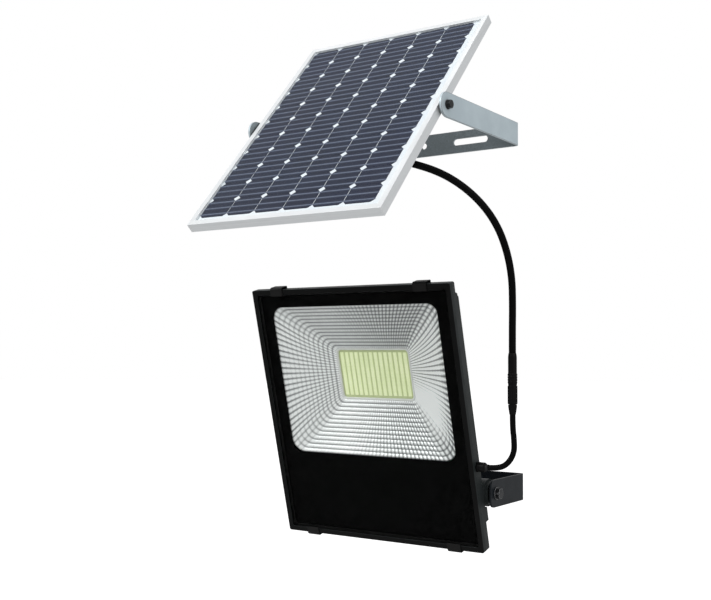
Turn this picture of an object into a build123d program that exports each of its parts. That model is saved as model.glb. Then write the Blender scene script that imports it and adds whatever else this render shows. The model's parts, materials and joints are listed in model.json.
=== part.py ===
from build123d import *
import os
from math import cos, pi, radians, sin

# Wall-mounted solar flood light: an LED lamp and a solar panel, each tilting in its own U bracket,
# joined by a cable with a waterproof connector half way.
# Millimetres, +Z up. The wall is the plane Y = 0 and the light stands out from it towards -Y.
# The origin is the middle of the lamp bracket's mounting face.
os.makedirs("parts", exist_ok=True)

# ---------------------------------------------------------------- driving dimensions
FIT = 0.05  # radial clearance of a shank in its hole
GAP = 0.1  # clearance between faces that turn on each other

# Lamp: a flat box that leans over towards its foot, seen from its front face inwards ("depth")
LAMP_PIVOT = Vector(0, -88, 0)
LAMP_LEAN = 14.9
LAMP_WIDTH, LAMP_HEIGHT, LAMP_CORNER = 320, 360.6, 2.5
LAMP_PIVOT_HEIGHT, LAMP_PIVOT_DEPTH = -108.9, 33.3
BEZEL_RIM, BEZEL_LIP, BEZEL_DEPTH, BEZEL_WALL = 7, 1.5, 6, 3
GLASS = 4
SEAL, SEAL_WIDTH = 1.5, 6
PRINT, PRINT_GAP, PRINT_ROOM = 0.1, 0.05, 1
WINDOW_HEIGHT_AT = 47.8  # centre of the lit window above the middle of the face
WINDOW_WIDTH, WINDOW_TALL, WINDOW_CORNER = 267, 212.5, 14
HOUSING_BACK = 50  # depth of the outer back wall
HOUSING_WALL = 3
SIDE_DEPTH = 18.5
FIN_DEPTH, FIN_THICK, FIN_PITCH, FIN_COUNT, FIN_TALL = 14, 2.5, 12, 17, 150
FLOOR = HOUSING_BACK - HOUSING_WALL
LUG_RADIUS, LUG_BOSS = 18, 5
BOARD_WIDTH, BOARD_TALL, BOARD = 152, 104, 1.6
LIGHT_WIDTH, LIGHT_TALL = 118, 72  # opening at the reflector's bottom
CHIP_COLUMNS, CHIP_ROWS, CHIP_PITCH_X, CHIP_PITCH_Y = 14, 12, 8, 5.2
CHIP_WIDTH, CHIP_TALL, CHIP = 5.2, 4.95, 0.8
CELL_COUNT, CELL_RADIUS, CELL_LENGTH, CELL_PITCH = 6, 16, 68, 33
BATTERY_X, BATTERY_HEIGHT_AT = -21, -98
CLIP_X, CLIP_WIDTH, CLIP_SHEET, CLIP_PROUD, CLIP_LIP = 116, 20, 1.2, 3.4, 9
CLIP_REACH = 15.5
FLANGE_DEPTH = 12

# Lamp bracket and its bolts
STRAP = 3
STRAP_BEND = 6
LAMP_ARM_OUT = 171.2  # outer face of an arm from the middle
LAMP_ARM_REACH, LAMP_STRAP_WIDTH = 102.4, 36
LAMP_BOLT_RADIUS, LAMP_BOLT_HEAD, LAMP_BOLT_HEAD_HEIGHT = 4, 13, 5.3
WASHER = 1.6

# Panel: frame, laminate and junction box, seen from its front face inwards
PANEL_PIVOT = Vector(11.3, -209.7, 492.6)
PANEL_LEAN = -42.3
PANEL_WIDTH, PANEL_HEIGHT, PANEL_DEPTH = 296, 400, 12.7
PANEL_PIVOT_HEIGHT, PANEL_PIVOT_DEPTH = 4.24, 8.12
RAIL_FACE, RAIL_LIP, RAIL_WALL, RAIL_RETURN = 8, 1, 2, 14
PANEL_GLASS, FILM, RIBBON, WAFER, BACKSHEET = 1.6, 0.1, 0.15, 0.4, 0.5
WAFER_COLUMNS, WAFER_ROWS = 6, 11
WAFER_PITCH_X, WAFER_PITCH_Y, WAFER_CORNER = 45, 34.2, 4.5
WAFERS_X, WAFERS_HEIGHT_AT = -4.5, 3.5  # centre of the block of wafers on the face
WAFER_GAP_X, WAFER_GAP_Y = 1.2, 0.5
RIBBON_WIDTH, RIBBONS_PER_CELL = 1.4, 3
BOX_WIDTH, BOX_TALL, BOX_DEEP, BOX_WALL, BOX_LID = 84, 60, 19, 2.5, 2.5
BOX_HEIGHT_AT = -77
BOX_POSTS = [(x * (BOX_WIDTH / 2 - 5.5), y * (BOX_TALL / 2 - 5.5)) for x in (-1, 1) for y in (-1, 1)]

# Panel bracket and its bolts
PANEL_ARM_OUT = 154.4
PANEL_ARM_REACH, PANEL_STRAP_WIDTH = 225.7, 32
PANEL_BOLT_RADIUS, PANEL_BOLT_HEAD, PANEL_BOLT_HEAD_HEIGHT = 3, 10, 4.5

# Holes for the wall screws, the same in both brackets
FIXING_HOLE_RADIUS, SLOT_LENGTH, SLOT_WIDTH, SLOT_AT = 4.5, 56, 9.5, 77.5

# Cable: an upper lead from the panel and a thinner lower lead to the lamp
PANEL_LEAD_RADIUS, LAMP_LEAD_RADIUS = 4.6, 3.7
CONNECTOR_AT = Vector(210.5, -121, 0)
CONNECTOR_TOP, CONNECTOR_BOTTOM = 184, 106
LAMP_GLAND_LONG, BOX_GLAND_LONG = 16, 26
LAMP_GLAND_HEIGHT_AT, LAMP_GLAND_DEPTH = -65.2, 11.6
BUSH_WALL = 0.6
BOX_GLAND_DEPTH = 15.2


# ---------------------------------------------------------------- frames of reference
def leaning_face(pivot, lean, pivot_height, pivot_depth):
    """Front plane of a body that leans about a pivot lying that high and that deep in it."""
    turn = radians(lean)
    outward = (0, -cos(turn), -sin(turn))
    at_pivot = Plane(origin=pivot, x_dir=(1, 0, 0), z_dir=outward)
    middle = at_pivot.from_local_coords((0, -pivot_height, pivot_depth))
    return Plane(origin=middle, x_dir=(1, 0, 0), z_dir=outward)


LAMP = leaning_face(LAMP_PIVOT, LAMP_LEAN, LAMP_PIVOT_HEIGHT, LAMP_PIVOT_DEPTH)
PANEL = leaning_face(PANEL_PIVOT, PANEL_LEAN, PANEL_PIVOT_HEIGHT, PANEL_PIVOT_DEPTH)


def inside(face, depth, height=0.0, x=0.0):
    """Plane parallel to a face, that deep behind it, with its origin moved over the face."""
    return Plane(origin=face.from_local_coords((x, height, -depth)), x_dir=(1, 0, 0), z_dir=face.z_dir)


def across(face, x=0.0, height=0.0, depth=0.0, side=1):
    """Plane square to the X axis: its own x runs into the body and its y up the face."""
    at = face.from_local_coords((x, height, -depth))
    return Plane(origin=at, x_dir=-face.z_dir * side, z_dir=(side, 0, 0))


def outward_x(point, side=1):
    """Plane square to the X axis whose z points away from the middle."""
    return Plane(origin=point, x_dir=(0, 1, 0), z_dir=(side, 0, 0))


def keep(piece, name):
    """Label a piece and write it as one STEP file."""
    piece.part.label = name
    export_step(piece.part, f"parts/{name}.step")


# ---------------------------------------------------------------- wall brackets
def wall_bracket(name, centre, arm_out, reach, pivot_reach, width, nose, hole):
    """U strap: its web lies on the wall and its two arms reach out to the pivot bolts."""
    middle = arm_out - STRAP / 2
    with BuildPart() as strap:
        with BuildSketch(Plane(origin=centre, x_dir=(1, 0, 0), z_dir=(0, 0, 1))):
            with BuildLine():
                FilletPolyline(
                    (-middle, -reach), (-middle, -STRAP / 2), (middle, -STRAP / 2), (middle, -reach),
                    radius=STRAP_BEND,
                )
            trace(line_width=STRAP)
        extrude(amount=width / 2, both=True)
        fillet(strap.edges().filter_by(Axis.X).group_by(Axis.Y)[0], nose)
        with BuildSketch(Plane(origin=centre, x_dir=(0, 1, 0), z_dir=(1, 0, 0))):
            with Locations((-pivot_reach, 0)):
                Circle(hole)
        extrude(amount=arm_out, both=True, mode=Mode.SUBTRACT)
        with BuildSketch(Plane(origin=centre, x_dir=(1, 0, 0), z_dir=(0, -1, 0))):
            Circle(FIXING_HOLE_RADIUS)
            with Locations((-SLOT_AT, 0), (SLOT_AT, 0)):
                SlotOverall(SLOT_LENGTH, SLOT_WIDTH)
        extrude(amount=STRAP, mode=Mode.SUBTRACT)
    keep(strap, name)


LAMP_NOSE, PANEL_NOSE = 8, PANEL_STRAP_WIDTH / 2 - 0.1
wall_bracket(
    "lamp_bracket", Vector(0, 0, 0), LAMP_ARM_OUT, LAMP_ARM_REACH, -LAMP_PIVOT.Y,
    LAMP_STRAP_WIDTH, LAMP_NOSE, LAMP_BOLT_RADIUS + FIT,
)
wall_bracket(
    "panel_bracket", Vector(PANEL_PIVOT.X, 0, PANEL_PIVOT.Z), PANEL_ARM_OUT, PANEL_ARM_REACH,
    -PANEL_PIVOT.Y, PANEL_STRAP_WIDTH, PANEL_NOSE, PANEL_BOLT_RADIUS + FIT,
)

# ---------------------------------------------------------------- lamp: bezel and glass
GLASS_ROOM = 1  # room round the glass in the bezel
GLASS_WIDTH = LAMP_WIDTH - 2 * BEZEL_WALL - GLASS_ROOM
GLASS_TALL = LAMP_HEIGHT - 2 * BEZEL_WALL - GLASS_ROOM
POCKET_WIDTH, POCKET_TALL = GLASS_WIDTH - 2 * SEAL_WIDTH, GLASS_TALL - 2 * SEAL_WIDTH
SEAT = BEZEL_LIP + GLASS + SEAL  # depth of the housing's sealing face

with BuildPart() as lamp_bezel:
    with BuildSketch(inside(LAMP, 0)):
        RectangleRounded(LAMP_WIDTH, LAMP_HEIGHT, LAMP_CORNER)
    extrude(amount=-BEZEL_DEPTH)
    with BuildSketch(inside(LAMP, 0)):
        RectangleRounded(LAMP_WIDTH - 2 * BEZEL_RIM, LAMP_HEIGHT - 2 * BEZEL_RIM, LAMP_CORNER)
    extrude(amount=-BEZEL_LIP, mode=Mode.SUBTRACT)
    with BuildSketch(inside(LAMP, BEZEL_LIP)):
        RectangleRounded(LAMP_WIDTH - 2 * BEZEL_WALL, LAMP_HEIGHT - 2 * BEZEL_WALL, LAMP_CORNER)
    extrude(amount=BEZEL_LIP - BEZEL_DEPTH, mode=Mode.SUBTRACT)
keep(lamp_bezel, "lamp_bezel")

with BuildPart() as front_glass:
    with BuildSketch(inside(LAMP, BEZEL_LIP)):
        RectangleRounded(GLASS_WIDTH, GLASS_TALL, LAMP_CORNER)
    extrude(amount=-GLASS)
keep(front_glass, "front_glass")

with BuildPart() as glass_seal:
    with BuildSketch(inside(LAMP, BEZEL_LIP + GLASS)):
        RectangleRounded(GLASS_WIDTH, GLASS_TALL, LAMP_CORNER)
        RectangleRounded(POCKET_WIDTH, POCKET_TALL, LAMP_CORNER, mode=Mode.SUBTRACT)
    extrude(amount=-SEAL)
keep(glass_seal, "glass_seal")

# Black ceramic print on the back of the glass, clear over the reflector
with BuildPart() as glass_print:
    with BuildSketch(inside(LAMP, BEZEL_LIP + GLASS + PRINT_GAP)):
        RectangleRounded(POCKET_WIDTH - PRINT_ROOM, POCKET_TALL - PRINT_ROOM, LAMP_CORNER)
        with Locations((0, WINDOW_HEIGHT_AT)):
            RectangleRounded(WINDOW_WIDTH, WINDOW_TALL, WINDOW_CORNER, mode=Mode.SUBTRACT)
    extrude(amount=-PRINT)
keep(glass_print, "glass_print")

# ---------------------------------------------------------------- lamp: die-cast housing
BODY_LOW, BODY_HIGH = -144, 161  # ends of the full-depth side walls
BACK_WIDTH, BACK_LOW, BACK_HIGH = 250, -138, 132  # flat of the back wall
POST_RADIUS, SCREW_RADIUS = 4, 1.5
REFLECTOR_FRONT = SEAT + 1.2
REFLECTOR_FLANGE = 10
REFLECTOR_POST_X = WINDOW_WIDTH / 2 + 6
REFLECTOR_POST_Y = WINDOW_TALL / 2 + 5
PCB_X, PCB_WIDTH, PCB_TALL, PCB, PCB_STANDOFF = 103, 46, 66, 1.6, 7
BOARD_SCREW_X, BOARD_SCREW_Y = BOARD_WIDTH / 2 - 6, BOARD_TALL / 2 - 5
REFLECTOR_SCREW, LOW_POST_END, HIGH_POST_END = 6, 31, 15.5
PAD_X, PAD_WIDTH, PAD_TALL, PAD_DEEP, PAD_HEIGHT_AT = 154, 12, 18, 8, -134
REFLECTOR_POSTS = [(x, y) for x in (-REFLECTOR_POST_X, REFLECTOR_POST_X)
                   for y in (-REFLECTOR_POST_Y, REFLECTOR_POST_Y)]
BOARD_HOLES = [(x, y) for x in (-BOARD_SCREW_X, BOARD_SCREW_X) for y in (-BOARD_SCREW_Y, BOARD_SCREW_Y)]
PCB_HOLES = [(PCB_X + x * (PCB_WIDTH / 2 - 4), y * (PCB_TALL / 2 - 4)) for x in (-1, 1) for y in (-1, 1)]


def housing_rectangle(depth, width, low, high):
    """Rounded rectangle on a plane inside the lamp, from one height to another."""
    with BuildSketch(inside(LAMP, depth, (low + high) / 2)) as outline:
        RectangleRounded(width, high - low, LAMP_CORNER)
    return outline.sketch


with BuildPart() as lamp_housing:
    flange = housing_rectangle(BEZEL_DEPTH, LAMP_WIDTH, -LAMP_HEIGHT / 2, LAMP_HEIGHT / 2)
    extrude(flange, amount=BEZEL_DEPTH - FLANGE_DEPTH)
    step = housing_rectangle(FLANGE_DEPTH, LAMP_WIDTH, -LAMP_HEIGHT / 2, BODY_HIGH + 4)
    extrude(step, amount=FLANGE_DEPTH - SIDE_DEPTH + 2)
    sides = housing_rectangle(SIDE_DEPTH - 2, LAMP_WIDTH, BODY_LOW, BODY_HIGH)
    extrude(sides, amount=-2)
    shoulder = housing_rectangle(SIDE_DEPTH, LAMP_WIDTH - 4, BODY_LOW + 2, BODY_HIGH - 2)
    back = housing_rectangle(HOUSING_BACK, BACK_WIDTH, BACK_LOW, BACK_HIGH)
    loft([shoulder, back])
    # lugs for the pivot bolts
    for side in (-1, 1):
        with BuildSketch(across(LAMP, side * LAMP_WIDTH / 2, LAMP_PIVOT_HEIGHT, LAMP_PIVOT_DEPTH, side)):
            Circle(LUG_RADIUS)
        extrude(amount=-LAMP_WIDTH / 8)
        with BuildSketch(across(LAMP, side * LAMP_WIDTH / 2, LAMP_PIVOT_HEIGHT, LAMP_PIVOT_DEPTH, side)):
            Circle(LUG_RADIUS - 3)
        extrude(amount=LUG_BOSS)
    # cooling fins behind the LED board
    with BuildSketch(inside(LAMP, HOUSING_BACK, WINDOW_HEIGHT_AT)):
        with GridLocations(FIN_PITCH, 0, FIN_COUNT, 1):
            Rectangle(FIN_THICK, FIN_TALL)
    extrude(amount=-FIN_DEPTH)
    # sealing face and inner pocket
    with BuildSketch(inside(LAMP, BEZEL_DEPTH)):
        RectangleRounded(GLASS_WIDTH + GLASS_ROOM, GLASS_TALL + GLASS_ROOM, LAMP_CORNER)
    extrude(amount=BEZEL_DEPTH - SEAT, mode=Mode.SUBTRACT)
    with BuildSketch(inside(LAMP, BEZEL_DEPTH)):
        RectangleRounded(POCKET_WIDTH, POCKET_TALL, LAMP_CORNER)
    extrude(amount=BEZEL_DEPTH - FLANGE_DEPTH + HOUSING_WALL, mode=Mode.SUBTRACT)
    pocket = housing_rectangle(BEZEL_DEPTH, POCKET_WIDTH, BODY_LOW + 6, BODY_HIGH - 6)
    extrude(pocket, amount=BEZEL_DEPTH - SIDE_DEPTH + 1, mode=Mode.SUBTRACT)
    pocket_mouth = housing_rectangle(SIDE_DEPTH - 1, POCKET_WIDTH, BODY_LOW + 6, BODY_HIGH - 6)
    pocket_floor = housing_rectangle(FLOOR, BACK_WIDTH - 10, BACK_LOW + 3, BACK_HIGH - 3)
    loft([pocket_mouth, pocket_floor], mode=Mode.SUBTRACT)
    # foot pads below the lugs
    with BuildSketch(inside(LAMP, SIDE_DEPTH - 3, PAD_HEIGHT_AT)):
        with Locations((PAD_X, 0), (-PAD_X, 0)):
            Rectangle(PAD_WIDTH, PAD_TALL)
    extrude(amount=-PAD_DEEP)
    # posts inside: under the reflector's flange and under the controller board
    for places, post_end in ((REFLECTOR_POSTS[::2], LOW_POST_END), (REFLECTOR_POSTS[1::2], HIGH_POST_END)):
        with BuildSketch(inside(LAMP, REFLECTOR_FRONT, WINDOW_HEIGHT_AT)):
            with Locations(*places):
                Circle(POST_RADIUS)
        extrude(amount=REFLECTOR_FRONT - post_end)
    with BuildSketch(inside(LAMP, FLOOR - PCB_STANDOFF, BATTERY_HEIGHT_AT)):
        with Locations(*PCB_HOLES):
            Circle(POST_RADIUS - 1)
    extrude(amount=-PCB_STANDOFF - 1)
    # screw holes in the posts and under the LED board
    with BuildSketch(inside(LAMP, REFLECTOR_FRONT, WINDOW_HEIGHT_AT)):
        with Locations(*REFLECTOR_POSTS):
            Circle(SCREW_RADIUS + FIT)
    extrude(amount=-REFLECTOR_SCREW - 0.3, mode=Mode.SUBTRACT)
    with BuildSketch(inside(LAMP, FLOOR - PCB_STANDOFF, BATTERY_HEIGHT_AT)):
        with Locations(*PCB_HOLES):
            Circle(SCREW_RADIUS + FIT)
    extrude(amount=-5, mode=Mode.SUBTRACT)
    with BuildSketch(inside(LAMP, FLOOR, WINDOW_HEIGHT_AT)):
        with Locations(*BOARD_HOLES):
            Circle(SCREW_RADIUS + FIT)
    extrude(amount=-2.5, mode=Mode.SUBTRACT)
    # blind pivot holes and the cable hole
    for side in (-1, 1):
        with BuildSketch(
            across(LAMP, side * (LAMP_WIDTH / 2 + LUG_BOSS), LAMP_PIVOT_HEIGHT, LAMP_PIVOT_DEPTH, side)
        ):
            Circle(LAMP_BOLT_RADIUS + FIT)
        extrude(amount=-17, mode=Mode.SUBTRACT)
    with BuildSketch(across(LAMP, LAMP_WIDTH / 2, LAMP_GLAND_HEIGHT_AT, LAMP_GLAND_DEPTH)):
        Circle(LAMP_LEAD_RADIUS + BUSH_WALL + FIT)
    extrude(amount=-12, mode=Mode.SUBTRACT)
keep(lamp_housing, "lamp_housing")

# ---------------------------------------------------------------- lamp: optics
REFLECTOR_SHEET = 0.8
BOARD_FRONT = FLOOR - BOARD
REFLECTOR_BOTTOM = BOARD_FRONT - CHIP - 0.2

with BuildPart() as reflector:
    with BuildSketch(inside(LAMP, REFLECTOR_FRONT, WINDOW_HEIGHT_AT)):
        RectangleRounded(
            WINDOW_WIDTH + 2 * REFLECTOR_FLANGE, WINDOW_TALL + 2 * REFLECTOR_FLANGE, WINDOW_CORNER
        )
    extrude(amount=REFLECTOR_SHEET)
    with BuildSketch(inside(LAMP, REFLECTOR_FRONT, WINDOW_HEIGHT_AT)):
        RectangleRounded(WINDOW_WIDTH, WINDOW_TALL, WINDOW_CORNER)
    with BuildSketch(inside(LAMP, REFLECTOR_BOTTOM, WINDOW_HEIGHT_AT)):
        RectangleRounded(LIGHT_WIDTH + 2, LIGHT_TALL + 2, WINDOW_CORNER / 2)
    loft()
    with BuildSketch(inside(LAMP, REFLECTOR_FRONT - REFLECTOR_SHEET, WINDOW_HEIGHT_AT)):
        RectangleRounded(WINDOW_WIDTH, WINDOW_TALL, WINDOW_CORNER)
    with BuildSketch(inside(LAMP, REFLECTOR_BOTTOM, WINDOW_HEIGHT_AT)):
        RectangleRounded(LIGHT_WIDTH, LIGHT_TALL, WINDOW_CORNER / 2)
    loft(mode=Mode.SUBTRACT)
    with BuildSketch(inside(LAMP, REFLECTOR_FRONT, WINDOW_HEIGHT_AT)):
        with Locations(*REFLECTOR_POSTS):
            Circle(SCREW_RADIUS + FIT)
    extrude(amount=REFLECTOR_SHEET, mode=Mode.SUBTRACT)
keep(reflector, "reflector")

with BuildPart() as led_board:
    with BuildSketch(inside(LAMP, BOARD_FRONT, WINDOW_HEIGHT_AT)):
        RectangleRounded(BOARD_WIDTH, BOARD_TALL, POST_RADIUS)
        with Locations(*BOARD_HOLES):
            Circle(SCREW_RADIUS + FIT, mode=Mode.SUBTRACT)
    extrude(amount=-BOARD)
keep(led_board, "led_board")

with BuildPart() as led_chips:
    with BuildSketch(inside(LAMP, BOARD_FRONT, WINDOW_HEIGHT_AT)):
        with GridLocations(CHIP_PITCH_X, CHIP_PITCH_Y, CHIP_COLUMNS, CHIP_ROWS):
            Rectangle(CHIP_WIDTH, CHIP_TALL)
    extrude(amount=CHIP)
keep(led_chips, "led_chips")


def screws(name, face, places, length, head_radius=2.8, head=1.8):
    """Pan-head screws in one node: their heads stand on the plane and their shanks go in."""
    with BuildPart() as group:
        with BuildSketch(face):
            with Locations(*places):
                Circle(SCREW_RADIUS)
        extrude(amount=-length)
        with BuildSketch(face):
            with Locations(*places):
                Circle(head_radius)
        extrude(amount=head)
        chamfer(
            group.edges().filter_by(GeomType.CIRCLE).group_by(Axis(face.origin, face.z_dir))[-1], head / 4
        )
    keep(group, name)


screws("board_screws", inside(LAMP, BOARD_FRONT, WINDOW_HEIGHT_AT), BOARD_HOLES, BOARD + 2)
screws(
    "reflector_screws", inside(LAMP, REFLECTOR_FRONT - REFLECTOR_SHEET, WINDOW_HEIGHT_AT),
    REFLECTOR_POSTS, REFLECTOR_SCREW, head_radius=2.5, head=1.2,
)

# ---------------------------------------------------------------- lamp: battery and controller
CELL_DEPTH = FLOOR - CELL_RADIUS - 0.3  # depth of the cells' axes
CELL_LOW = BATTERY_HEIGHT_AT - CELL_LENGTH / 2
LINK = 0.3
CRADLE_WIDTH, CRADLE_DEEP, CRADLE_THICK, CRADLE_AT = 194, 15, 6, 22


def square_to_height(height):
    """Plane across the lamp's height: its own x is X and its y runs out of the front face."""
    return Plane(origin=LAMP.from_local_coords((0, height, 0)), x_dir=(1, 0, 0), z_dir=-LAMP.y_dir)


with BuildPart() as battery_cells:
    with BuildSketch(square_to_height(CELL_LOW)):
        with Locations((BATTERY_X, -CELL_DEPTH)):
            with GridLocations(CELL_PITCH, 0, CELL_COUNT, 1):
                Circle(CELL_RADIUS)
    extrude(amount=-CELL_LENGTH)
keep(battery_cells, "battery_cells")

with BuildPart() as battery_cradle:
    for offset in (-CRADLE_AT, CRADLE_AT):
        with BuildSketch(square_to_height(BATTERY_HEIGHT_AT + offset)):
            with Locations((BATTERY_X, -FLOOR)):
                Rectangle(CRADLE_WIDTH, CRADLE_DEEP, align=(Align.CENTER, Align.MIN))
            with Locations((BATTERY_X, -CELL_DEPTH)):
                with GridLocations(CELL_PITCH, 0, CELL_COUNT, 1):
                    Circle(CELL_RADIUS + 0.2, mode=Mode.SUBTRACT)
        extrude(amount=CRADLE_THICK / 2, both=True)
keep(battery_cradle, "battery_cradle")

with BuildPart() as battery_links:
    for height, way in ((CELL_LOW, 1), (CELL_LOW + CELL_LENGTH, -1)):
        with BuildSketch(square_to_height(height)):
            with Locations((BATTERY_X, -CELL_DEPTH)):
                with GridLocations(2 * CELL_PITCH, 0, CELL_COUNT // 2, 1):
                    Rectangle(CELL_PITCH + 8, 8)
        extrude(amount=way * LINK)
keep(battery_links, "battery_links")

PCB_FACE = FLOOR - PCB_STANDOFF - PCB
with BuildPart() as controller_board:
    with BuildSketch(inside(LAMP, PCB_FACE, BATTERY_HEIGHT_AT)):
        with Locations((PCB_X, 0)):
            Rectangle(PCB_WIDTH, PCB_TALL)
        with Locations(*PCB_HOLES):
            Circle(SCREW_RADIUS + FIT, mode=Mode.SUBTRACT)
    extrude(amount=-PCB)
keep(controller_board, "controller_board")

INDUCTOR, INDUCTOR_HIGH, INDUCTOR_AT = 16, 9, (-8, 12)
CAPACITOR_RADIUS, CAPACITOR_HIGH, CAPACITORS_AT = 4.5, 12, [(10, 14), (10, 2)]
TRANSISTOR_WIDTH, TRANSISTOR_TALL, TRANSISTOR_HIGH, TRANSISTORS_AT = 9, 8, 4, [(-10, -6), (4, -8)]
TERMINAL_WIDTH, TERMINAL_TALL, TERMINAL_HIGH, TERMINAL_AT = 26, 9, 10, (0, -24)
on_board = inside(LAMP, PCB_FACE, BATTERY_HEIGHT_AT, PCB_X)
with BuildPart() as controller_parts:
    with BuildSketch(on_board):
        with Locations(INDUCTOR_AT):
            RectangleRounded(INDUCTOR, INDUCTOR, INDUCTOR / 5)
    extrude(amount=INDUCTOR_HIGH)
    with BuildSketch(on_board):
        with Locations(*CAPACITORS_AT):
            Circle(CAPACITOR_RADIUS)
    extrude(amount=CAPACITOR_HIGH)
    with BuildSketch(on_board):
        with Locations(*TRANSISTORS_AT):
            Rectangle(TRANSISTOR_WIDTH, TRANSISTOR_TALL)
    extrude(amount=TRANSISTOR_HIGH)
    with BuildSketch(on_board):
        with Locations(TERMINAL_AT):
            Rectangle(TERMINAL_WIDTH, TERMINAL_TALL)
    extrude(amount=TERMINAL_HIGH)
keep(controller_parts, "controller_parts")

screws("controller_screws", inside(LAMP, PCB_FACE, BATTERY_HEIGHT_AT), PCB_HOLES, PCB + 4)

# ---------------------------------------------------------------- lamp: spring clips over the bezel
def glass_clip(name, x, end):
    """Bent spring sheet: a lip over the bezel, a raised bridge and a hook behind the flange."""
    edge = LAMP_HEIGHT / 2
    back = FLANGE_DEPTH if end > 0 else CLIP_REACH + 1
    sheet = CLIP_SHEET
    outer = [
        (-sheet, edge - CLIP_LIP), (-sheet, edge + CLIP_PROUD - 2), (1, edge + CLIP_PROUD),
        (back + sheet - 1, edge + CLIP_PROUD), (back + sheet, edge + CLIP_PROUD - 1),
        (back + sheet, edge - 6), (back, edge - 6), (back, edge + CLIP_PROUD - sheet),
        (0.6, edge + CLIP_PROUD - sheet), (0, edge + CLIP_PROUD - sheet - 1), (0, edge - CLIP_LIP),
    ]
    with BuildPart() as clip:
        with BuildSketch(across(LAMP, x)):
            with BuildLine():
                Polyline([(depth, end * height) for depth, height in outer], close=True)
            make_face()
        extrude(amount=CLIP_WIDTH / 2, both=True)
    keep(clip, name)


for name, x, end in (
    ("glass_clip_top_left", -CLIP_X, 1), ("glass_clip_top_right", CLIP_X, 1),
    ("glass_clip_bottom_left", -CLIP_X, -1), ("glass_clip_bottom_right", CLIP_X, -1),
):
    glass_clip(name, x, end)


# ---------------------------------------------------------------- cable glands
def gland(prefix, seat, wall, lead_radius, total):
    """Cable gland screwed into a wall along +X: body, dome cap and a rubber bush that the lead leaves."""
    thread, hex_thick, cap_long = lead_radius + BUSH_WALL, 3, 9
    hex_across, nut_across = 2 * thread + 4, 2 * thread + 1.8
    with BuildPart() as body:
        with BuildSketch(outward_x(seat)):
            RegularPolygon(hex_across / 2, 6, major_radius=False)
        extrude(amount=hex_thick)
        with BuildSketch(outward_x(seat)):
            Circle(thread)
        extrude(amount=-wall - 4)
        with BuildSketch(outward_x(seat)):
            Circle(thread)
        extrude(amount=hex_thick + cap_long - 3)
    keep(body, f"{prefix}_body")
    with BuildPart() as cap:
        with BuildSketch(outward_x(seat + Vector(hex_thick, 0, 0))):
            Circle(hex_across / 2)
        extrude(amount=cap_long)
        fillet(cap.edges().filter_by(GeomType.CIRCLE).sort_by(Axis.X)[-1], 1.8)
        with BuildSketch(outward_x(seat + Vector(hex_thick, 0, 0))):
            Circle(thread + FIT)
        extrude(amount=cap_long, mode=Mode.SUBTRACT)
    keep(cap, f"{prefix}_cap")
    with BuildPart() as bush:
        with BuildSketch(outward_x(seat + Vector(hex_thick + cap_long - 3, 0, 0))):
            Circle(thread)
        with BuildSketch(outward_x(seat + Vector(total, 0, 0))):
            Circle(lead_radius + BUSH_WALL / 2)
        loft()
    keep(bush, f"{prefix}_bush")
    with BuildPart() as nut:
        with BuildSketch(outward_x(seat - Vector(wall + 3, 0, 0))):
            RegularPolygon(nut_across / 2, 6, major_radius=False)
            Circle(thread + FIT, mode=Mode.SUBTRACT)
        extrude(amount=3)
    keep(nut, f"{prefix}_nut")


LAMP_SIDE_WALL = (LAMP_WIDTH - POCKET_WIDTH) / 2
lamp_gland_seat = Vector(LAMP.from_local_coords((LAMP_WIDTH / 2, LAMP_GLAND_HEIGHT_AT, -LAMP_GLAND_DEPTH)))
gland("lamp_gland", lamp_gland_seat, LAMP_SIDE_WALL, LAMP_LEAD_RADIUS, LAMP_GLAND_LONG)
box_gland_seat = Vector(PANEL.from_local_coords((BOX_WIDTH / 2, BOX_HEIGHT_AT, -BOX_GLAND_DEPTH)))
gland("junction_gland", box_gland_seat, BOX_WALL, PANEL_LEAD_RADIUS, BOX_GLAND_LONG)


# ---------------------------------------------------------------- pivot bolts
def hex_bolt(name, seat, side, radius, length, head_across, head_height):
    """Hex bolt along X whose chamfered head stands on the seat and whose shank runs inwards."""
    corner = head_across / 2 / cos(radians(30))
    with BuildPart() as crown:
        with BuildSketch(outward_x(seat, side)):
            Circle(corner)
        extrude(amount=head_height)
        rim = crown.edges().filter_by(GeomType.CIRCLE).sort_by(Axis(seat, (side, 0, 0)))[-1]
        chamfer(rim, (corner - head_across / 2) * 0.6, (corner - head_across / 2) * 1.3)
    with BuildPart() as bolt:
        with BuildSketch(outward_x(seat, side)):
            RegularPolygon(head_across / 2, 6, major_radius=False)
        extrude(amount=head_height)
        add(crown.part, mode=Mode.INTERSECT)
        with BuildSketch(outward_x(seat, side)):
            Circle(radius)
        extrude(amount=-length)
    keep(bolt, name)


def rings(name, pivot, distance, thick, outer, inner):
    """A pair of rings on the pivot axis, one at each side of the middle."""
    with BuildPart() as pair:
        for side in (-1, 1):
            with BuildSketch(outward_x(pivot + Vector(side * distance, 0, 0), side)):
                Circle(outer)
                Circle(inner, mode=Mode.SUBTRACT)
            extrude(amount=thick)
    keep(pair, name)


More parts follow.
